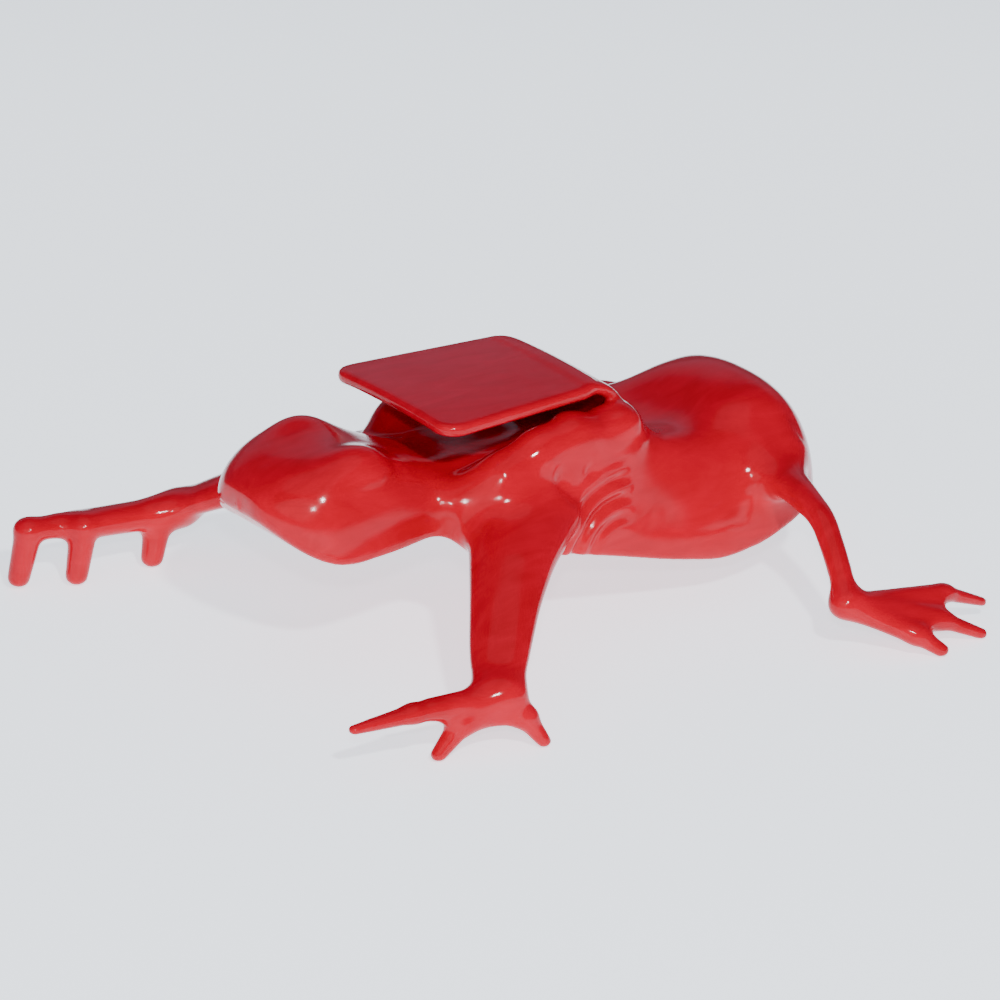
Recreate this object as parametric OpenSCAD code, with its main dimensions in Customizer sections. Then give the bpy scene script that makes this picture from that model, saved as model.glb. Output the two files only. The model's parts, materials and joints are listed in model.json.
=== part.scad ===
// Press-and-jump frog: one thin plastic moulding, modelled as members that
// meet at its flexing lines. X runs towards the head, Y to the frog's left, Z up.
// The origin is on the table, under the middle of the frog.

/* [Body shell] */
// Wall of the hollow body
wall = 1.3; // [1:0.1:1.5]
// Where the head meets the neck
neck_x = 9; // [8:0.5:10]
// How much a body section bulges towards a box, 1 being an ellipse
fullness = 0.75; // [0.65:0.05:1]

/* [Paddle] */
// Flexing line of the tongue, from the middle of the frog
paddle_x = -4; // [-4.5:0.25:-3.5]
// Length of the tongue from its flexing line
paddle_len = 14.2; // [13:0.2:14.6]
// Width of the tongue
paddle_w = 15.6; // [14:0.2:17]
// Thickness of the tongue
paddle_t = 1.2; // [1:0.1:1.4]
// Height of the tongue's middle plane
paddle_z = 18.2; // [18:0.1:19]
// Width of the strap that carries the tongue
root_w = 9; // [7:0.5:10]

/* [Legs and feet] */
// Front ankle, forward of the middle
front_ankle_x = 15; // [14:0.25:16]
// Hind ankle, from the middle, negative towards the rump
hind_ankle_x = -15.2; // [-16:0.2:-14.4]
// Ankle, out from the middle plane
ankle_y = 21.5; // [20:0.5:23]
// Height of the ankle
ankle_z = 4.2; // [4:0.1:4.5]
// Slit at each flexing line
slit = 0.4; // [0.35:0.05:0.5]
// Width of a toe
toe_w = 1.8; // [1.6:0.1:2]

/* [Hidden] */
plastic = "#d8161b";
arch_steps = 24;
station_count = 22;
limb_fn = 16;
reach = 30;

// Body by station: x, half width, height along the back's middle, height of the rim,
// height that the two ridges of the back add beside its middle
body_profile = [
    [-24, 2.8, 9.4, 6.8, 0], [-23, 5.2, 12.8, 6.2, 0], [-21, 7.4, 14.4, 5.6, 0.3],
    [-17, 8.8, 13.6, 4.2, 0.5], [-13, 9.2, 12.6, 3.7, 1.1], [-8, 9.2, 12.8, 4.8, 2.2],
    [-3, 9.2, 14.2, 6.2, 2.2], [0, 9, 14.4, 6.9, 1.4], [3, 8, 13.4, 8, 0.6],
    [7, 6.6, 13.8, 9.4, 0], [10, 6.2, 14.8, 9.8, 0], [14, 6.8, 16.4, 9.6, 1],
    [18, 6.8, 16.4, 9.5, 1], [20.5, 5.8, 15.8, 10.2, 0.3], [22, 4.2, 15.2, 12, 0],
    [23, 2, 14.6, 12.9, 0]];
rump_x = body_profile[0][0];
nose_x = body_profile[len(body_profile) - 1][0];

// Each left limb: where it roots in the body, its ankle, its full widths along, across
// and up at both ends, and its toe tips from the ankle: forward, outward, up
front_limb = [[4, 8, 11], [front_ankle_x, ankle_y, ankle_z], [8, 7.4, 3.2], [2.6, 2.9, 2.2],
              [[12, -0.8, -2.2], [6.4, 0.4, -ankle_z], [-1.8, 2.8, -ankle_z]]];
hind_limb = [[-19.5, 8, 10.5], [hind_ankle_x, ankle_y, ankle_z], [6, 5.4, 2.6], [2, 2.3, 1.7],
             [[-12, 0.2, -2.8], [-10, 3, -ankle_z], [-4.4, 3.8, -ankle_z]]];

// Share of the way from root to ankle at which the leg flexes, and at which the foot does
leg_flex = 0.24;
foot_flex = 0.86;

function between(a, b, t) = a + (b - a) * t;
function unit(v) = v / norm(v);
function along(limb) = unit(limb[1] - limb[0]);
function profile(x, column, i = 0) =
    i >= len(body_profile) - 2 || x <= body_profile[i + 1][0]
    ? let(a = body_profile[i], b = body_profile[i + 1])
      between(a[column], b[column], min(1, max(0, (x - a[0]) / (b[0] - a[0]))))
    : profile(x, column, i + 1);

// One arch of the body at station x, from the right rim over the back to the left rim
function arch(x, inset) =
    let(half = profile(x, 1) - inset, rim = profile(x, 3),
        rise = profile(x, 2) - inset - rim, ridge = profile(x, 4))
    [for (j = [0:arch_steps])
        let(a = 180 * j / arch_steps, c = cos(a), s = sin(a))
        [x, -half * sign(c) * pow(abs(c), fullness),
         rim + rise * pow(s, fullness) + ridge * pow(sin(2 * a), 2)]];

// A length of hollow body; an end at the nose or rump is closed by its wall
module body_span(x0, x1, closed0, closed1) {
    inner0 = x0 + (closed0 ? wall : 0);
    inner1 = x1 - (closed1 ? wall : 0);
    outer = [for (i = [0:station_count]) arch(x0 + (x1 - x0) * i / station_count, 0)];
    inner = [for (i = [0:station_count])
        arch(inner0 + (inner1 - inner0) * i / station_count, wall)];
    row = arch_steps + 1;
    far = (station_count + 1) * row;
    last = station_count * row;
    points = [for (ring = outer) each ring, for (ring = inner) each ring];
    sides = [for (i = [0:station_count - 1], j = [0:arch_steps - 1])
        let(k = i * row + j) each [
            [k, k + 1, k + row + 1], [k, k + row + 1, k + row],
            [far + k, far + k + row + 1, far + k + 1], [far + k, far + k + row, far + k + row + 1]]];
    rims = [for (i = [0:station_count - 1])
        let(k = i * row, m = i * row + arch_steps) each [
            [k, k + row, far + k + row], [k, far + k + row, far + k],
            [m, far + m + row, m + row], [m, far + m, far + m + row]]];
    end0 = closed0
        ? [for (j = [1:arch_steps - 1]) each [[0, j + 1, j], [far, far + j, far + j + 1]],
           each [[0, far, far + arch_steps], [0, far + arch_steps, arch_steps]]]
        : [for (j = [0:arch_steps - 1]) each [[j, far + j, far + j + 1], [j, far + j + 1, j + 1]]];
    end1 = closed1
        ? [for (j = [1:arch_steps - 1]) each [
              [last, last + j, last + j + 1], [far + last, far + last + j + 1, far + last + j]],
           each [[last, far + last + arch_steps, far + last],
                 [last, last + arch_steps, far + last + arch_steps]]]
        : [for (j = [0:arch_steps - 1]) let(k = last + j) each [
              [k, far + k + 1, far + k], [k, k + 1, far + k + 1]]];
    polyhedron(points, concat(sides, rims, end0, end1));
}

// Everything past a point, along a direction
module beyond(point, way) {
    translate(point)
        rotate([0, -atan2(way.z, norm([way.x, way.y])), atan2(way.y, way.x)])
            translate([0, -reach, -reach]) cube(2 * reach);
}

module blob(at, size, turn = 0) {
    translate(at) rotate(turn) scale(size / 2) sphere(r = 1, $fn = limb_fn);
}

// The whole left limb from inside the body to its ankle
module tapered_limb(limb) {
    turn = atan2(along(limb).y, along(limb).x);
    hull() {
        blob(limb[0], limb[2], turn);
        blob(limb[1], limb[3], turn);
    }
}

// The stretch of a left limb between two shares of its length, short by half a slit at
// each end that is cut
module limb_stretch(limb, from, to) {
    difference() {
        tapered_limb(limb);
        if (from > 0)
            beyond(between(limb[0], limb[1], from) + along(limb) * slit / 2, -along(limb));
        if (to < 1)
            beyond(between(limb[0], limb[1], to) - along(limb) * slit / 2, along(limb));
    }
}

// A toe runs out flat from the ankle to its knuckle, then bends down to its tip
module toe(ankle, offset_to_tip) {
    knuckle = ankle + [offset_to_tip.x * 0.86, offset_to_tip.y * 0.7, -0.5];
    tip = ankle + offset_to_tip;
    hull() {
        blob(ankle, [2.2, 2.2, 1.6]);
        blob(knuckle, [toe_w, toe_w, 1.4]);
    }
    hull() {
        blob(knuckle, [toe_w, toe_w, 1.4]);
        translate(tip + [0, 0, 0.5]) cylinder(d = 1.2, h = 0.3, $fn = limb_fn);
    }
    translate(tip) cylinder(d = 1.2, h = 0.6, $fn = 32);
}

// Thin skin between the toes, as far as half way along them
module web(ankle, toes) {
    translate([ankle.x, ankle.y, ankle.z - 0.9]) linear_extrude(1)
        polygon([[0, 0], for (t = toes) [t.x, t.y] * 0.55]);
}

module left_foot(limb) {
    limb_stretch(limb, foot_flex, 1);
    for (t = limb[4]) toe(limb[1], t);
    web(limb[1], limb[4]);
}

module on_right() { mirror([0, 1, 0]) children(); }

module torso_shell() {
    color(plastic) {
        body_span(rump_x, neck_x, true, false);
        for (limb = [front_limb, hind_limb]) {
            limb_stretch(limb, 0, leg_flex);
            on_right() limb_stretch(limb, 0, leg_flex);
        }
    }
}

module head_shell() {
    color(plastic) body_span(neck_x, nose_x, false, true);
}

// A strap that rises from the hollow of the back and turns forward to the tongue
module paddle_root() {
    bend = 2.4;
    color(plastic) translate([paddle_x - slit / 2, root_w / 2, paddle_z]) rotate([90, 0, 0])
        linear_extrude(root_w) translate([0, -bend]) {
            intersection() {
                difference() {
                    circle(r = bend + paddle_t / 2, $fn = 64);
                    circle(r = bend - paddle_t / 2, $fn = 64);
                }
                translate([-reach, 0]) square(reach);
            }
            translate([-bend - paddle_t / 2, -2.6]) square([paddle_t, 2.6]);
        }
}

module press_paddle() {
    corner = 2.5;
    start = 0.6;
    color(plastic) translate([paddle_x + slit / 2, 0, paddle_z - paddle_t / 2])
        linear_extrude(paddle_t) {
            translate([0, -root_w / 2]) square([2 * corner, root_w]);
            translate([start + corner, -paddle_w / 2])
                square([paddle_len - start - 2 * corner, paddle_w]);
            translate([start, corner - paddle_w / 2])
                square([paddle_len - start, paddle_w - 2 * corner]);
            for (x = [start + corner, paddle_len - corner], side = [-1, 1])
                translate([x, side * (paddle_w / 2 - corner)]) circle(r = corner, $fn = 48);
        }
}

module front_left_leg() { color(plastic) limb_stretch(front_limb, leg_flex, foot_flex); }
module front_right_leg() { color(plastic) on_right() limb_stretch(front_limb, leg_flex, foot_flex); }
module hind_left_leg() { color(plastic) limb_stretch(hind_limb, leg_flex, foot_flex); }
module hind_right_leg() { color(plastic) on_right() limb_stretch(hind_limb, leg_flex, foot_flex); }
module front_left_foot() { color(plastic) left_foot(front_limb); }
module front_right_foot() { color(plastic) on_right() left_foot(front_limb); }
module hind_left_foot() { color(plastic) left_foot(hind_limb); }
module hind_right_foot() { color(plastic) on_right() left_foot(hind_limb); }

torso_shell();
head_shell();
paddle_root();
press_paddle();
front_left_leg();
front_right_leg();
hind_left_leg();
hind_right_leg();
front_left_foot();
front_right_foot();
hind_left_foot();
hind_right_foot();
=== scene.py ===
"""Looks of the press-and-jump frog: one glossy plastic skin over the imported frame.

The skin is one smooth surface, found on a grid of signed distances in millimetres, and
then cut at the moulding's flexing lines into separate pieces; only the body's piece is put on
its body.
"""
import json
import math

import bmesh
import bpy
import numpy as np
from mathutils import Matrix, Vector


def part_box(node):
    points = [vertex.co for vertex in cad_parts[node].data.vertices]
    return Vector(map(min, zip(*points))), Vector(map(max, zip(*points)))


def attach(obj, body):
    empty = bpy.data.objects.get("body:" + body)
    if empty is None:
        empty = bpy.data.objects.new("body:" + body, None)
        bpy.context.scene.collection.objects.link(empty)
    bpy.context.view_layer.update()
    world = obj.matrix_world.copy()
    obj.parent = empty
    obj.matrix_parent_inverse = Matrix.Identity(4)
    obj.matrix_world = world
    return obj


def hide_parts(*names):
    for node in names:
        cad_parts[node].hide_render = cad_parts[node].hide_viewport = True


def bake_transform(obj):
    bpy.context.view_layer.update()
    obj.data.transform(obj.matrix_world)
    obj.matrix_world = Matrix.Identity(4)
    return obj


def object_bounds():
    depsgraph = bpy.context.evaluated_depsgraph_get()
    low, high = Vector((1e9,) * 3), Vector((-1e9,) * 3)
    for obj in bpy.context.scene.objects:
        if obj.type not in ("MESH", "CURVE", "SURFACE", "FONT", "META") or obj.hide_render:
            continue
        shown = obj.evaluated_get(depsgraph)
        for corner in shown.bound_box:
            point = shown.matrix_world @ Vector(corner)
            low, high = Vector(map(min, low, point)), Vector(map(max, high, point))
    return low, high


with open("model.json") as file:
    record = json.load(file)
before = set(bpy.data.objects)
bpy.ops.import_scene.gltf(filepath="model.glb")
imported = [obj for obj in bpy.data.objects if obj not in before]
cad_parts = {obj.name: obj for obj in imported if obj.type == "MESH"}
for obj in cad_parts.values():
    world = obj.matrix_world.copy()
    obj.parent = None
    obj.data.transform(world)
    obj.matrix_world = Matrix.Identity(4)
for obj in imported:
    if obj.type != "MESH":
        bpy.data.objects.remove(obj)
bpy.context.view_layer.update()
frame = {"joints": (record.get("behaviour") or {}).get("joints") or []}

MM = 0.001
CELL = 0.25  # pitch of the distance grid, mm
WALL = 1.3  # thickness of the shell, mm
# shares of a limb's length from its root at which it flexes and ends its bend
LEG_FLEX = 0.24
FOOT_FLEX = 0.86

joints = {j["name"]: j for j in frame["joints"]}


def joint_mm(name):
    """Where a joint of the frame lies, in millimetres."""
    return np.array(joints[name]["pos_m"]) / MM


# ---------------------------------------------------------------- distance helpers
def soft_min(a, b, k):
    """The smaller of two distances, blended smoothly where they differ by less than k."""
    h = np.maximum(k - np.abs(a - b), 0) / k
    return np.minimum(a, b) - h * h * k / 4


def soft_max(a, b, k):
    return -soft_min(-a, -b, k)


def true_distance(field, pitch):
    """A field that is zero on a surface, scaled by its own slope to measure from it."""
    gx, gy, gz = np.gradient(field, pitch)
    return field / np.maximum(np.sqrt(gx * gx + gy * gy + gz * gz), 0.02)


class Grid:
    """Left half of the frog's space. The right half is its mirror image."""

    def __init__(self, pitch):
        self.pitch = pitch
        self.low = np.array([-30.0, 0.0, -1.0])
        self.x = np.arange(self.low[0], 29.5, pitch, dtype=np.float32)
        self.y = np.arange(self.low[1], 28.5, pitch, dtype=np.float32)
        self.z = np.arange(self.low[2], 20.5, pitch, dtype=np.float32)
        self.X, self.Y, self.Z = np.meshgrid(self.x, self.y, self.z, indexing="ij")

    def curve(self, xs, values, smooth=1.1):
        """A value given at some stations along X, smoothed, at every grid point."""
        fine = np.arange(self.x[0] - 6, self.x[-1] + 6, self.pitch)
        v = np.interp(fine, xs, values)
        reach = int(3 * smooth / self.pitch)
        kernel = np.exp(-0.5 * (np.arange(-reach, reach + 1) * self.pitch / smooth) ** 2)
        padded = np.pad(v, reach, mode="edge")
        v = np.convolve(padded, kernel / kernel.sum(), mode="valid")
        v = np.interp(self.x, fine, v).astype(np.float32)
        return v[:, None, None]

    def blob(self, centre, radii):
        """1 at the centre of a soft bump, fading over its radii."""
        cx, cy, cz = centre
        rx, ry, rz = radii
        return np.exp(-0.5 * (((self.X - cx) / rx) ** 2 + ((self.Y - cy) / ry) ** 2
                              + ((self.Z - cz) / rz) ** 2))

    def rod(self, a, b, ra, rb, flat=1.0):
        """A round-ended taper from a to b, flattened up and down by flat."""
        a, b = np.array(a, float), np.array(b, float)
        scale = np.array([1, 1, 1 / flat])
        d = (b - a) * scale
        px, py, pz = self.X - a[0], self.Y - a[1], (self.Z - a[2]) / flat
        t = np.clip((px * d[0] + py * d[1] + pz * d[2]) / (d @ d), 0, 1)
        r = np.sqrt((px - t * d[0]) ** 2 + (py - t * d[1]) ** 2 + (pz - t * d[2]) ** 2)
        return (r - (ra + (rb - ra) * t)) * (0.5 + 0.5 * flat)

    def bead(self, points, radius):
        """Distance from a line through points, less a radius."""
        best = None
        for a, b in zip(points[:-1], points[1:]):
            d = self.rod(a, b, radius, radius)
            best = d if best is None else np.minimum(best, d)
        return best


# ---------------------------------------------------------------- body
# stations along X, and at each the body's half width, the heights of its back and its rim,
# how far its two long ridges rise, and how square its section is
STATIONS = [-26, -21, -17, -13, -8, -3, 0, 3, 7, 10, 14, 18, 20.5, 22, 24]
HALF_WIDTH = [8.2, 8.7, 9.1, 9.2, 9.2, 9.2, 9.0, 8.0, 6.6, 6.1, 6.9, 7.1, 6.7, 6.3, 5.6]
BACK = [13.8, 14.8, 14.7, 12.7, 12.4, 14.0, 14.5, 13.8, 13.8, 14.9, 16.5, 16.8, 16.3, 16, 15.4]
RIM = [7.8, 5.7, 4.2, 3.7, 4.8, 6.2, 6.9, 8.0, 9.4, 9.8, 9.6, 9.4, 9.9, 10.6, 12.4]
RIDGE = [0, 0, 0.1, 1.3, 2.7, 3.0, 2.6, 1.5, 0, 0, 0.5, 0.5, 0.2, 0, 0]
SQUARENESS = [2.3, 2.4, 2.4, 2.6, 2.7, 2.9, 2.9, 2.8, 2.6, 2.6, 2.6, 2.6, 2.6, 2.6, 2.6]


def end_cap(along, start, length, power=2.4):
    """1 along the body, falling to 0 over its rounded end."""
    s = np.clip((along - start) / length, 0, 1)
    return (1 - s ** power) ** (1 / power)


def body_fields(g):
    """Distances from the outside of the body, from its hollow, and above its rim."""
    half = g.curve(STATIONS, HALF_WIDTH)
    back = g.curve(STATIONS, BACK)
    rim = g.curve(STATIONS, RIM, 0.9)
    ridge = g.curve(STATIONS, RIDGE)
    power = g.curve(STATIONS, SQUARENESS)
    x = g.x[:, None, None]
    nose, tail = end_cap(x, 18.2, 5.3, 2.2), end_cap(-x, 19.0, 5.3)
    chin = 13.3
    rim = chin + (rim - chin) * np.where(x > 0, nose, 1)
    back = np.where(x > 0, chin + (back - chin) * nose, rim + (back - rim) * tail)
    half = half * nose * tail
    rise = np.maximum(back - rim, 0.05)
    half = np.maximum(half, 0.05)
    u = g.Y / half
    c = np.clip(u, 0, 1) ** (power / 2)
    bump = 4 * c * c * (1 - c * c)
    v = np.maximum(g.Z - rim - ridge * bump, 0) / rise
    field = (u ** power + v ** power) ** (1 / power) - 1
    outside = true_distance(field, g.pitch)
    # past the rounded ends the slope along X is too steep to measure by
    outside = np.maximum(outside, np.where(field > 0, 0.5 * field * np.minimum(half, rise), -9))
    outside = np.clip(outside, -6, 6)
    below = true_distance(rim - g.Z + 0 * g.Y, g.pitch)
    # the hollow stops short of the solid tips of the nose and the tail
    hollow = soft_max(outside + WALL, np.maximum(x - 21.3, -22.2 - x) + 0 * outside, 1.5)
    return outside, hollow, below


def body_details(g, d):
    """Eyes, shoulder and hip folds and the ripples of the flank, pushed out or in."""
    # eyes: a low dome each, with a fold under it
    d = d - 0.85 * g.blob((15.4, 4.2, 16.2), (1.6, 1.3, 1.4))
    lid = g.bead([(12.6, 5.0, 15.2), (14.6, 6.2, 14.4), (17.2, 6.0, 14.3)], 0)
    d = d + 0.2 * np.exp(-0.5 * (lid / 0.5) ** 2)
    # brow between the eyes and the snout
    d = d + 0.25 * g.blob((18.6, 0, 17.2), (1.2, 2.6, 1.2))
    # shoulders: two humps and a blade that runs forward under the tongue's edge
    d = d - 0.75 * g.blob((-1.0, 7.5, 14.2), (2.8, 1.8, 2.3))
    d = d - 1.8 * g.blob((-6.0, 6.6, 16.6), (1.6, 1.7, 1.8))
    blade = [(-5.0, 6.2, 15.0, 1.3), (-1.0, 6.8, 15.2, 1.45), (2.0, 7.0, 14.6, 1.45),
             (5.0, 6.8, 13.5, 1.4), (8.5, 5.6, 12.0, 1.2)]
    for (*a, ra), (*b, rb) in zip(blade[:-1], blade[1:]):
        d = soft_min(d, g.rod(a, b, ra, rb), 1.6)
    # folds that run down over the blade
    for path in ([(-2.6, 5.6, 16.6), (-1.6, 7.4, 15.2), (-1.4, 8.6, 13.0)],
                 [(0.4, 5.4, 16.4), (0.8, 7.2, 15.0), (1.2, 8.6, 12.6)],
                 [(2.0, 5.0, 14.8), (3.4, 6.4, 13.6), (4.4, 7.4, 12.2)]):
        fold = g.bead(path, 0)
        d = d + 0.30 * np.exp(-0.5 * (fold / 0.42) ** 2)
    # hips: a rounder hump with two slanting folds
    d = d - 0.3 * g.blob((-18.8, 5.4, 13.4), (2.2, 1.8, 1.8))
    fold = g.bead([(-17.2, 5.2, 15.4), (-18.4, 7.0, 14.0), (-18.6, 8.8, 11.4)], 0)
    d = d + 0.32 * np.exp(-0.5 * (fold / 0.5) ** 2)
    fold = g.bead([(-20.6, 4.4, 15.4), (-21.2, 6.2, 13.8), (-21.4, 7.6, 11.4)], 0)
    d = d + 0.24 * np.exp(-0.5 * (fold / 0.42) ** 2)
    # small folds that ring the pit behind the front leg
    ahead, above = g.X + 4.0, g.Z - 6.4
    ring = np.sqrt(ahead * ahead + above * above)
    fade = np.exp(-0.5 * ((ring - 4.4) / 1.4) ** 2) * np.clip((g.Y - 6.6) / 1.4, 0, 1)
    fade = fade * np.clip(ahead / 1.5 + 0.8, 0, 1) * np.clip(above / 1.5 + 0.2, 0, 1)
    d = d - 0.32 * np.sin(ring * 2 * math.pi / 1.5) * fade
    # swell of the belly above the rim
    d = d - 0.35 * g.blob((-12.5, 9.0, 6.4), (2.6, 1.6, 1.4))
    return d


# ---------------------------------------------------------------- limbs
def limb_ends(name):
    """Root and ankle of a left limb, from its two joints on the way between them."""
    a, b = joint_mm(name + "_leg_flex"), joint_mm(name + "_foot_flex")
    step = (b - a) / (FOOT_FLEX - LEG_FLEX)
    return a - LEG_FLEX * step, a + (1 - LEG_FLEX) * step


def limb_field(g, name, shares, across, thick, bow, sway, power=2.05):
    """A tapering strap from the body to the ankle: half widths across it and through it
    at some shares of its length, a bow that lifts it and a sway that moves it forward."""
    root, ankle = limb_ends(name)
    e = ankle - root
    length = np.linalg.norm(e)
    e = e / length
    side = np.array([e[1], -e[0], 0])
    side = side / np.linalg.norm(side)
    up = np.cross(side, e)
    px, py, pz = g.X - root[0], g.Y - root[1], g.Z - root[2]
    t = (px * e[0] + py * e[1] + pz * e[2]) / length
    p = px * side[0] + py * side[1] + pz * side[2]
    q = px * up[0] + py * up[1] + pz * up[2]
    at = np.clip(t, 0, 1)
    fine = np.linspace(0, 1, 101)

    def over(values):
        v = np.interp(fine, shares, values)
        v = np.convolve(np.pad(v, 8, mode="edge"), np.ones(17) / 17, mode="valid")
        return np.interp(at, fine, v).astype(np.float32)

    p, q = p - over(sway), q - over(bow)
    rp, rq = over(across), over(thick)
    end = np.maximum(np.maximum(t - 1, -t), 0) * length / np.minimum(rp, rq)
    field = (np.abs(p / rp) ** power + np.abs(q / rq) ** power + end ** power) ** (1 / power) - 1
    return np.clip(true_distance(field, g.pitch), -3, 6), ankle


def plate(g, a, b, c, radius):
    """Distance from a thin triangular plate with round edges."""
    a, b, c = (np.array(p, float) for p in (a, b, c))
    n = np.cross(b - a, c - a)
    n = n / np.linalg.norm(n)
    height = np.abs((g.X - a[0]) * n[0] + (g.Y - a[1]) * n[1] + (g.Z - a[2]) * n[2])
    over, rim = None, None
    for p, q, r in ((a, b, c), (b, c, a), (c, a, b)):
        edge = np.cross(q - p, n)
        edge = edge / np.linalg.norm(edge)
        if (r - p) @ edge > 0:
            edge = -edge
        d = (g.X - p[0]) * edge[0] + (g.Y - p[1]) * edge[1] + (g.Z - p[2]) * edge[2]
        near = g.rod(p, q, 0, 0)
        over = d if over is None else np.maximum(over, d)
        rim = near if rim is None else np.minimum(rim, near)
    return np.where(over < 0, height, rim) - radius


def foot_field(g, ankle, toes, web):
    """Toes that run out from the ankle and bend down at their knuckles, with skin between."""
    total, knuckles = None, []
    for dx, dy, dz, root_r, tip_r, bend, drop in toes:
        knuckle = ankle + [dx * bend, dy * bend, -drop]
        tip = ankle + [dx, dy, dz]
        tip[2] += tip_r * 0.9
        knuckles.append(knuckle)
        middle = root_r * 0.62 + tip_r * 0.38
        d = soft_min(g.rod(ankle - [0, 0, 0.35], knuckle, root_r, middle, 0.8),
                     g.rod(knuckle, tip, middle, tip_r, 0.8), 0.5)
        total = d if total is None else soft_min(total, d, 0.9)
    for (a, b), share in zip(zip(knuckles[:-1], knuckles[1:]), web):
        pa, pb = ankle + (a - ankle) * share[0], ankle + (b - ankle) * share[1]
        total = soft_min(total, plate(g, ankle - [0, 0, 0.3], pa, pb, 0.5), 0.8)
    return total


# ---------------------------------------------------------------- tongue
TONGUE_T = 0.95  # thickness of the plate and its strap, mm
TONGUE_CORNER = 1.8
TONGUE_TAPER = 1.3  # narrower at the root than at the free end, on each side
TONGUE_OVERHANG = 0.4  # how far the plate's root lies behind the CAD's


def tongue_field(g):
    """The press tongue: a flat plate with rounded corners on a strap from the back."""
    low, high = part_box("press_paddle")
    x0, x1 = low.x / MM, high.x / MM
    top = high.z / MM
    half = high.y / MM - TONGUE_TAPER * np.clip((x1 - g.X) / (x1 - x0), 0, 1.1)
    centre = top - TONGUE_T / 2
    # the plate sags a little towards its two sides
    droop = 0.012 * g.Y * g.Y * 0.4
    past_ends = np.maximum(g.X - (x1 - TONGUE_CORNER),
                           (x0 + TONGUE_CORNER - TONGUE_OVERHANG) - g.X)
    px, py = np.maximum(past_ends, 0), np.maximum(g.Y - (half - TONGUE_CORNER), 0)
    rounded = np.sqrt(px * px + py * py) - TONGUE_CORNER
    straight = np.maximum(np.maximum(g.X - x1, x0 - TONGUE_OVERHANG - g.X), g.Y - half)
    outline = np.where((px == 0) & (py == 0), straight, rounded)
    slab = soft_max(outline, np.abs(g.Z - centre + droop) - TONGUE_T / 2, 0.45)
    # the strap turns down behind the plate and runs into the hollow of the back
    t = np.linspace(0, 1, 9)[:, None]
    start, knee, foot = (np.array(p) for p in ((x0 + 0.8, centre), (x0 - 2.4, centre),
                                               (x0 - 3.6, centre - 5.2)))
    path = (1 - t) ** 2 * start + 2 * t * (1 - t) * knee + t * t * foot
    strap = None
    for a, b in zip(path[:-1], path[1:]):
        along = np.clip(((g.X - a[0]) * (b - a)[0] + (g.Z + droop - a[1]) * (b - a)[1])
                        / ((b - a) @ (b - a)), 0, 1)
        gap = np.hypot(g.X - a[0] - along * (b - a)[0],
                       g.Z + droop - a[1] - along * (b - a)[1])
        strap = gap if strap is None else np.minimum(strap, gap)
    strap = strap - TONGUE_T / 2
    spread = 5.5 + 0.8 * np.clip((g.Z - (top - 3.6)) / 3.2, 0, 1)
    strap = soft_max(strap, (g.Y - spread) * 0.9, 0.6)
    return soft_min(slab, strap, 0.3)


# ---------------------------------------------------------------- whole frog
# Toes from the ankle: forward, outward and up to the tip, half width at the root and at the
# tip, share of the way out to the knuckle, and how far the knuckle drops
FRONT_TOES = {
    "left": [(12.0, -0.6, -0.8, 1.1, 0.45, 0.60, 0.2), (5.3, 0.0, -4.2, 1.2, 0.6, 0.62, 1.7),
             (-2.3, 2.0, -4.2, 1.1, 0.55, 0.55, 1.9)],
    "right": [(12.9, 1.4, -4.1, 1.2, 0.85, 0.93, -0.3), (9.0, -0.4, -4.2, 1.2, 0.85, 0.92, -0.3),
              (2.5, -0.5, -4.2, 1.3, 0.85, 0.7, 0.1)]}
FRONT_WEB = [(0.80, 1.0), (1.0, 1.0)]
HIND_TOES = [(-12.0, 0.2, -3.1, 0.9, 0.42, 0.72, 1.3), (-9.8, 3.1, -4.2, 0.9, 0.5, 0.72, 2.4),
             (-5.4, 4.2, -4.2, 0.95, 0.6, 0.74, 2.5)]
HIND_WEB = [(0.94, 0.92), (0.92, 0.98)]


def body_and_legs(g):
    """The shell with its legs and tongue, and where its two left ankles are."""
    outside, hollow, below = body_fields(g)
    outside = body_details(g, outside)
    # round marks of the ejector pins on the hollow side of the back
    for x, radius in ((-15.5, 1.5), (-9.0, 1.2), (3.5, 1.2), (14.5, 1.5)):
        ring = np.sqrt((g.X - x) ** 2 + g.Y ** 2)
        hollow = hollow - 0.22 * np.clip((radius - ring) / 0.3 + 0.5, 0, 1)
    solid = soft_max(outside, below, 0.5)
    shares = [0, 0.12, 0.3, 0.55, 0.8, 0.93, 1]
    front, front_ankle = limb_field(
        g, "front_left", shares, [3.9, 3.7, 3.1, 2.55, 2.2, 1.95, 1.6],
        [2.1, 2.0, 1.7, 1.35, 1.15, 1.0, 0.85], [-0.9, -0.4, 0.2, 0.4, 0.25, 0.1, 0],
        [0, 0.1, 0.3, 0.4, 0.4, 0.3, 0.2])
    hind, hind_ankle = limb_field(
        g, "hind_left", shares, [2.3, 1.9, 1.3, 0.95, 0.9, 0.9, 0.8],
        [1.3, 1.2, 1.0, 0.85, 0.8, 0.75, 0.6], [-1.0, -0.6, 0.5, 1.5, 1.0, 0.4, 0],
        [1.4, 1.1, 0.6, 0, 0, 0, 0])
    solid = soft_min(solid, front, 3.0)
    solid = soft_min(solid, hind, 2.6)
    solid = soft_max(solid, -hollow, 0.5)
    # the tongue melts into the back at its foot only, and stays free of the shoulders
    melt = np.clip(1.2 * (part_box("press_paddle")[1].z / MM - 1.7 - g.Z), 0.2, 1.8)
    return soft_min(solid, tongue_field(g), melt), front_ankle, hind_ankle


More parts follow.
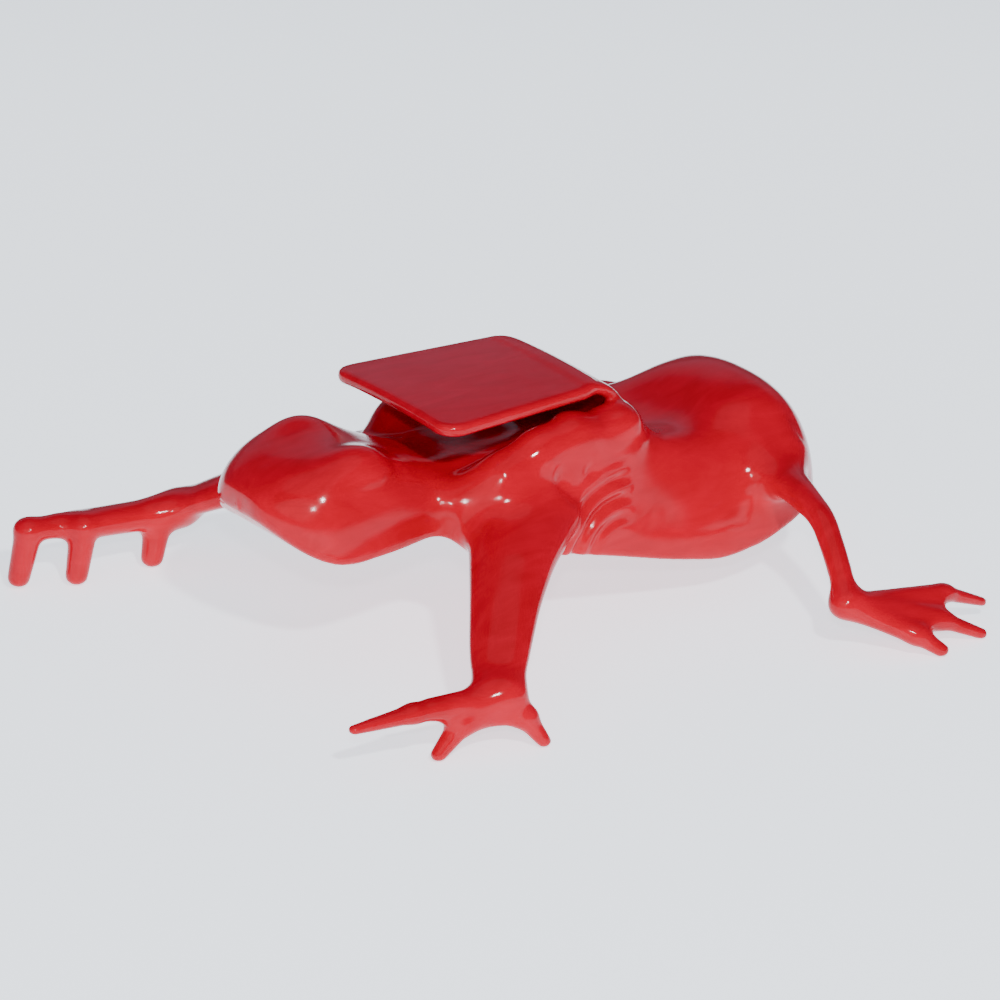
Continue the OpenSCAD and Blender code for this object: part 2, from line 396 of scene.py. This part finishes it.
def both_sides(g):
    """The field over both halves, each side with its own front toes."""
    common, front_ankle, hind_ankle = body_and_legs(g)
    common = soft_min(common, foot_field(g, hind_ankle, HIND_TOES, HIND_WEB), 1.2)
    halves = []
    for side in ("right", "left"):
        feet = foot_field(g, front_ankle, FRONT_TOES[side], FRONT_WEB)
        # toes stand flat on the table
        halves.append(soft_max(soft_min(common, feet, 1.5), -0.08 - g.Z, 0.2))
    return np.concatenate([halves[0][:, :0:-1], halves[1]], 1)


def nets(field, low, pitch):
    """Points and quads of the field's zero surface, one point in each cell it crosses."""
    inside = field < 0
    shape = np.array(field.shape) - 1
    count = np.zeros(shape, np.uint8)
    corners = [(i, j, k) for i in (0, 1) for j in (0, 1) for k in (0, 1)]
    for i, j, k in corners:
        count += inside[i:i + shape[0], j:j + shape[1], k:k + shape[2]]
    active = (count > 0) & (count < 8)
    cells = np.argwhere(active)
    index = np.full(shape, -1, np.int64)
    index[active] = np.arange(len(cells))
    total, hits = np.zeros((len(cells), 3)), np.zeros(len(cells))
    for a in corners:
        for axis in range(3):
            if a[axis]:
                continue
            b = tuple(1 if n == axis else v for n, v in enumerate(a))
            fa, fb = field[tuple((cells + a).T)], field[tuple((cells + b).T)]
            cross = (fa < 0) != (fb < 0)
            t = np.where(cross, fa / np.where(cross, fa - fb, 1), 0)
            point = np.array(a, float) + t[:, None] * (np.array(b) - a)
            total[cross] += point[cross]
            hits += cross
    points = (cells + total / hits[:, None]) * pitch + low
    quads = []
    for axis in range(3):
        b, c = (axis + 1) % 3, (axis + 2) % 3
        step = np.zeros(3, int)
        step[axis] = 1
        n = np.array(field.shape) - step
        first = inside[:n[0], :n[1], :n[2]]
        second = inside[step[0]:, step[1]:, step[2]:]
        edges = np.argwhere(first != second)
        edges = edges[(edges[:, b] > 0) & (edges[:, c] > 0)
                      & (edges[:, b] < shape[b]) & (edges[:, c] < shape[c])]
        into = first[tuple(edges.T)]
        ring = []
        for db, dc in ((0, 0), (-1, 0), (-1, -1), (0, -1)):
            cell = edges.copy()
            cell[:, b] += db
            cell[:, c] += dc
            ring.append(index[tuple(cell.T)])
        ring = np.stack(ring, 1)
        ring[~into] = ring[~into][:, ::-1]
        quads.append(ring)
    return points, np.concatenate(quads)


def sample(field, points, low, pitch):
    """The field at points, from the eight grid values round each."""
    at = (points - low) / pitch
    cell = np.clip(np.floor(at).astype(int), 0, np.array(field.shape) - 2)
    f = at - cell
    out = np.zeros(len(points))
    for i in (0, 1):
        for j in (0, 1):
            for k in (0, 1):
                w = (f[:, 0] if i else 1 - f[:, 0]) * (f[:, 1] if j else 1 - f[:, 1]) \
                    * (f[:, 2] if k else 1 - f[:, 2])
                out += w * field[cell[:, 0] + i, cell[:, 1] + j, cell[:, 2] + k]
    return out


def settle(points, quads, field, slopes, low, pitch):
    """Points evened out among their neighbours and put back on the zero surface."""
    pairs = np.concatenate([quads[:, [n, (n + 1) % 4]] for n in range(4)])
    counts = np.bincount(pairs[:, 0], minlength=len(points))
    for smooth in (0.5, 0.5, 0.3, 0):
        if smooth:
            mean = np.stack([np.bincount(pairs[:, 0], points[pairs[:, 1], n], len(points))
                             for n in range(3)], 1) / counts[:, None]
            points = points + smooth * (mean - points)
        for _ in range(2):
            value = sample(field, points, low, pitch)
            slope = np.stack([sample(s, points, low, pitch) for s in slopes], 1)
            step = slope * (value / np.maximum((slope ** 2).sum(1), 0.1))[:, None]
            size = np.linalg.norm(step, axis=1, keepdims=True)
            points = points - step * np.minimum(1, 0.6 * pitch / np.maximum(size, 1e-9))
    return points


grid = Grid(CELL)
whole = both_sides(grid)
corner = np.array([grid.low[0], -grid.y[-1], grid.low[2]])
points, quads = nets(whole, corner, grid.pitch)
slopes = np.gradient(whole, grid.pitch)
points = settle(points, quads, whole, slopes, corner, grid.pitch)

# ---------------------------------------------------------------- cuts at the flexing lines
skin = bmesh.new()
mesh = bpy.data.meshes.new("frog_surface")
mesh.from_pydata(points.tolist(), [], quads.tolist())
skin.from_mesh(mesh)
bpy.data.meshes.remove(mesh)


def cut(place, normal, reach):
    """Opens the surface along a plane, near one place only."""
    place, normal = Vector(place), Vector(normal)
    faces = [f for f in skin.faces if (f.calc_center_median() - place).length < reach]
    geom = set(faces)
    for f in faces:
        geom.update(f.verts)
        geom.update(f.edges)
    made = bmesh.ops.bisect_plane(skin, geom=list(geom), dist=1e-5, plane_co=place,
                                  plane_no=normal)["geom_cut"]
    # the plane can graze the flank too: only the ring of edges round the place is parted
    left = {e for e in made if isinstance(e, bmesh.types.BMEdge)}
    rings = []
    while left:
        ring, open_edges = [], [left.pop()]
        while open_edges:
            e = open_edges.pop()
            ring.append(e)
            near = {o for v in e.verts for o in v.link_edges} & left
            left -= near
            open_edges.extend(near)
        rings.append(ring)
    middle = [sum((v.co for e in ring for v in e.verts), Vector()) / (2 * len(ring))
              for ring in rings]
    best = min(range(len(rings)), key=lambda i: (middle[i] - place).length / len(rings[i]))
    bmesh.ops.split_edges(skin, edges=rings[best])


# how far from each flexing line its cut may reach, mm
LEG_REACH = 4.6
FOOT_REACH = 3.2
TONGUE_REACH = 9.5

limbs = {}
for pos in ("front", "hind"):
    for side, sign in (("left", 1), ("right", -1)):
        name = f"{pos}_{side}"
        root, ankle = (end * [1, sign, 1] for end in limb_ends(f"{pos}_left"))
        limbs[name] = (root, ankle)
        cut(root + LEG_FLEX * (ankle - root), ankle - root, LEG_REACH)
        cut(root + FOOT_FLEX * (ankle - root), ankle - root, FOOT_REACH)
tongue_x = joint_mm("paddle_flex")[0]
cut((tongue_x, 0, joint_mm("paddle_flex")[2]), (1, 0, 0), TONGUE_REACH)


def islands():
    """The separate stretches of the cut surface, each a list of its faces."""
    found, seen = [], set()
    for start in skin.faces:
        if start in seen:
            continue
        stretch, open_faces = [], [start]
        seen.add(start)
        while open_faces:
            f = open_faces.pop()
            stretch.append(f)
            for e in f.edges:
                for other in e.link_faces:
                    if other not in seen:
                        seen.add(other)
                        open_faces.append(other)
        found.append(stretch)
    return found


def set_normals(data):
    """Shading normals from the field, so that two pieces shade alike where they meet."""
    def numbers(items, field, width, kind):
        out = np.empty(len(items) * width, kind)
        items.foreach_get(field, out)
        return out.reshape(-1, width) if width > 1 else out

    places = numbers(data.vertices, "co", 3, np.float32) / MM
    normals = np.stack([sample(s, places, corner, grid.pitch) for s in slopes], 1)
    normals /= np.maximum(np.linalg.norm(normals, axis=1, keepdims=True), 1e-6)
    normals = normals[numbers(data.loops, "vertex_index", 1, np.int32)]
    smooth = numbers(data.polygons, "use_smooth", 1, bool)
    sizes = numbers(data.polygons, "loop_total", 1, np.int32)
    flat = np.repeat(~smooth, sizes)
    normals[flat] = np.repeat(numbers(data.polygons, "normal", 3, np.float32), sizes, 0)[flat]
    data.normals_split_custom_set(normals.tolist())


def piece(name, faces, material):
    """A new object from some faces of the skin, its cut ends closed by flat caps."""
    part = bmesh.new()
    twin = {}
    for f in faces:
        corners = []
        for v in f.verts:
            if v not in twin:
                twin[v] = part.verts.new(v.co)
            corners.append(twin[v])
        part.faces.new(corners).smooth = True
    rims = [e for e in part.edges if e.is_boundary]
    caps = bmesh.ops.holes_fill(part, edges=rims, sides=0)["faces"]
    for e in rims:
        e.smooth = False
    for f in caps:
        f.smooth = False
    bmesh.ops.triangulate(part, faces=caps)
    bmesh.ops.recalc_face_normals(part, faces=part.faces)
    bmesh.ops.scale(part, vec=(MM, MM, MM), verts=part.verts)
    data = bpy.data.meshes.new(name)
    part.to_mesh(data)
    part.free()
    data.materials.append(material)
    set_normals(data)
    obj = bpy.data.objects.new(name, data)
    bpy.context.scene.collection.objects.link(obj)
    return obj


# ---------------------------------------------------------------- material
def map_range(tree, value, limits):
    """A node that maps a value from one range to another: from low, high, to low, high."""
    node = tree.nodes.new("ShaderNodeMapRange")
    for socket, limit in zip(("From Min", "From Max", "To Min", "To Max"), limits):
        node.inputs[socket].default_value = limit
    tree.links.new(value, node.inputs["Value"])
    return node


def moulding_plastic():
    """Glossy self-coloured polyethylene: faint flow clouds, a skin that is not quite flat,
    fine handling scratches and slightly duller patches."""
    m = bpy.data.materials.new("red_polyethylene")
    m.use_nodes = True
    nodes, links = m.node_tree.nodes, m.node_tree.links
    shader = nodes["Principled BSDF"]
    place = nodes.new("ShaderNodeTexCoord").outputs["Object"]

    def noise(scale, detail, rough, source=place, distortion=0.0):
        n = nodes.new("ShaderNodeTexNoise")
        n.inputs["Scale"].default_value = scale
        n.inputs["Detail"].default_value = detail
        n.inputs["Roughness"].default_value = rough
        n.inputs["Distortion"].default_value = distortion
        links.new(source, n.inputs["Vector"])
        return n.outputs["Fac"]

    def spread(value, *limits):
        return map_range(m.node_tree, value, limits).outputs["Result"]

    clouds = noise(120, 3, 0.55, distortion=0.8)
    stretched = nodes.new("ShaderNodeMapping")
    stretched.inputs["Scale"].default_value = (1.0, 3.5, 3.5)
    links.new(place, stretched.inputs["Vector"])
    flow = noise(160, 4, 0.6, stretched.outputs["Vector"], 1.2)
    colour = nodes.new("ShaderNodeValToRGB")
    colour.color_ramp.elements[0].position = 0.32
    colour.color_ramp.elements[0].color = (0.43, 0.0, 0.010, 1)
    colour.color_ramp.elements[1].position = 0.68
    colour.color_ramp.elements[1].color = (0.54, 0.0, 0.016, 1)
    mixed = nodes.new("ShaderNodeMath")
    mixed.operation = "MULTIPLY_ADD"
    links.new(clouds, mixed.inputs[0])
    mixed.inputs[1].default_value = 0.5
    links.new(spread(flow, 0.3, 0.7, 0.1, 0.4), mixed.inputs[2])
    links.new(mixed.outputs[0], colour.inputs["Fac"])
    links.new(colour.outputs["Color"], shader.inputs["Base Color"])

    links.new(spread(noise(420, 4, 0.6), 0.35, 0.7, 0.07, 0.17), shader.inputs["Roughness"])
    shader.inputs["IOR"].default_value = 1.51
    shader.inputs["Specular IOR Level"].default_value = 0.2

    sag = nodes.new("ShaderNodeBump")
    sag.inputs["Strength"].default_value = 0.22
    sag.inputs["Distance"].default_value = 0.00022
    links.new(noise(330, 2, 0.5), sag.inputs["Height"])
    scratch = nodes.new("ShaderNodeMapping")
    scratch.inputs["Scale"].default_value = (1.0, 14.0, 14.0)
    scratch.inputs["Rotation"].default_value = (0.2, 0.3, 0.7)
    links.new(place, scratch.inputs["Vector"])
    fine = nodes.new("ShaderNodeBump")
    fine.inputs["Strength"].default_value = 0.10
    fine.inputs["Distance"].default_value = 0.00003
    links.new(noise(900, 3, 0.7, scratch.outputs["Vector"]), fine.inputs["Height"])
    links.new(sag.outputs["Normal"], fine.inputs["Normal"])
    links.new(fine.outputs["Normal"], shader.inputs["Normal"])
    return m


plastic = moulding_plastic()

# ---------------------------------------------------------------- pieces, the body's skin on its body
stretches = sorted(islands(), key=len, reverse=True)


def claim(place):
    """Takes the stretch whose middle lies nearest a place out of the list."""
    def gap(faces):
        middle = sum((f.calc_center_median() for f in faces), Vector()) / len(faces)
        return (middle - Vector(place)).length
    found = min(stretches, key=gap)
    stretches.remove(found)
    return found


body = piece("body_skin", stretches.pop(0), plastic)
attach(body, "body")
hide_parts("torso_shell", "head_shell", "paddle_root")
tongue_low, tongue_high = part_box("press_paddle")
tongue = piece("tongue_skin", claim((tongue_low + tongue_high) / 2 / MM), plastic)
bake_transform(tongue)
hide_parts("press_paddle")
for name, (root, ankle) in limbs.items():
    leg = piece(name + "_leg_skin", claim(root + 0.55 * (ankle - root)), plastic)
    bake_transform(leg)
    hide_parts(name + "_leg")
    foot = piece(name + "_foot_skin", claim(ankle + (ankle - root) * [0.2, 0.1, 0.1]), plastic)
    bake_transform(foot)
    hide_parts(name + "_foot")
skin.free()

# ---------------------------------------------------------------- floor, light, camera
def flat_material(name, rgb, rough, glow):
    """A plain material that also glows a little in its own colour."""
    m = bpy.data.materials.new(name)
    m.use_nodes = True
    shader = m.node_tree.nodes["Principled BSDF"]
    shader.inputs["Base Color"].default_value = (*rgb, 1)
    shader.inputs["Roughness"].default_value = rough
    shader.inputs["Emission Color"].default_value = (*rgb, 1)
    shader.inputs["Emission Strength"].default_value = glow
    return m


FLAT = 0.9  # half length of the table's flat part, m
BEND = 0.5  # radius of the bend up to the backdrop
BEND_STEPS = 12
BACKDROP_TOP = 1.6
HALF_SPAN = 2.2
# painted light on the table: its glow, strong near the frog and weak far off
TABLE_GLOW = (0.11, 0.30, 1.5, 0.25)  # fades between two distances, from one strength to another


def sweep():
    """A pale table that curves up into a backdrop far behind the frog, glowing with painted
    light that is brightest round the frog.
    """
    part = bmesh.new()
    profile = [(-FLAT, 0.0), (FLAT, 0.0)]
    for n in range(1, BEND_STEPS + 1):
        a = math.radians(90 * n / BEND_STEPS)
        profile.append((FLAT + BEND * math.sin(a), BEND - BEND * math.cos(a)))
    profile.append((FLAT + BEND, BACKDROP_TOP))
    rows = [[part.verts.new((x, y, z)) for y, z in profile] for x in (-HALF_SPAN, HALF_SPAN)]
    for a, b in zip(range(len(profile) - 1), range(1, len(profile))):
        f = part.faces.new((rows[0][a], rows[0][b], rows[1][b], rows[1][a]))
        f.smooth, f.material_index = True, int(a > 0)
    data = bpy.data.meshes.new("table")
    part.to_mesh(data)
    part.free()
    obj = bpy.data.objects.new("table", data)
    pale = flat_material("pale_table_painted_glow", (0.86, 0.92, 1.0), 0.6, TABLE_GLOW[2])
    nodes, links = pale.node_tree.nodes, pale.node_tree.links
    reach = nodes.new("ShaderNodeVectorMath")
    reach.operation = "LENGTH"
    links.new(nodes.new("ShaderNodeTexCoord").outputs["Object"], reach.inputs[0])
    # painted light: the table glows brightest round the frog and the glow fades with distance,
    # so that the far table leaves no glare on the plastic
    fade = map_range(pale.node_tree, reach.outputs["Value"], TABLE_GLOW)
    fade.interpolation_type = "SMOOTHSTEP"
    links.new(fade.outputs["Result"], nodes["Principled BSDF"].inputs["Emission Strength"])
    data.materials.append(pale)
    data.materials.append(flat_material("grey_backdrop", (0.40, 0.46, 0.56), 0.8, 0.05))
    bpy.context.scene.collection.objects.link(obj)
    return obj


AZIMUTH = math.radians(146)
ELEVATION = math.radians(21.5)
DISTANCE = 0.71
low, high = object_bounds()
centre = (low + high) / 2
toward = Vector((math.sin(AZIMUTH) * math.cos(ELEVATION),
                 -math.cos(AZIMUTH) * math.cos(ELEVATION), math.sin(ELEVATION)))
across = Vector((-math.cos(AZIMUTH), -math.sin(AZIMUTH), 0))
table = sweep()
table.rotation_euler = (0, 0, AZIMUTH)

camera = bpy.data.objects.new("camera", bpy.data.cameras.new("camera"))
camera.data.lens = 350
camera.data.sensor_width = 36
camera.data.clip_start = 0.02
camera.data.clip_end = 20
bpy.context.scene.collection.objects.link(camera)
aim = centre + Vector((0, 0, -0.001))
camera.location = aim + toward * DISTANCE
camera.rotation_mode = "QUATERNION"
camera.rotation_quaternion = (-toward).to_track_quat("-Z", "Y")
bpy.context.scene.camera = camera


def softbox(name, offset, size, power, rgb=(1, 1, 1)):
    """An oval light, offset from the frog's middle and turned towards it."""
    data = bpy.data.lights.new(name, "AREA")
    data.shape, data.size, data.size_y = "ELLIPSE", size[0], size[1]
    data.energy, data.color = power, rgb
    obj = bpy.data.objects.new(name, data)
    obj.location = centre + offset
    obj.rotation_mode = "QUATERNION"
    obj.rotation_quaternion = offset.to_track_quat("Z", "Y")
    bpy.context.scene.collection.objects.link(obj)


flat_toward = Vector((toward.x, toward.y, 0)).normalized()
up = Vector((0, 0, 1))
softbox("key", flat_toward * 0.42 + up * 0.34 - across * 0.10, (0.03, 0.03), 2.1)
softbox("flash", toward * 0.62 + up * 0.05, (0.02, 0.02), 1.1)
softbox("fill", flat_toward * 0.60 + up * 0.30 + across * 0.22, (0.6, 0.5), 0.8)
softbox("top", up * 0.75 + flat_toward * 0.1, (0.9, 0.9), 0.8, (0.92, 0.96, 1.0))
softbox("back", up * 0.35 - flat_toward * 0.75, (1.2, 0.35), 0.22, (0.62, 0.72, 1.0))
world = bpy.data.worlds.new("studio")
world.use_nodes = True
world.node_tree.nodes["Background"].inputs["Color"].default_value = (0.74, 0.84, 1.0, 1)
world.node_tree.nodes["Background"].inputs["Strength"].default_value = 0.10
bpy.context.scene.world = world
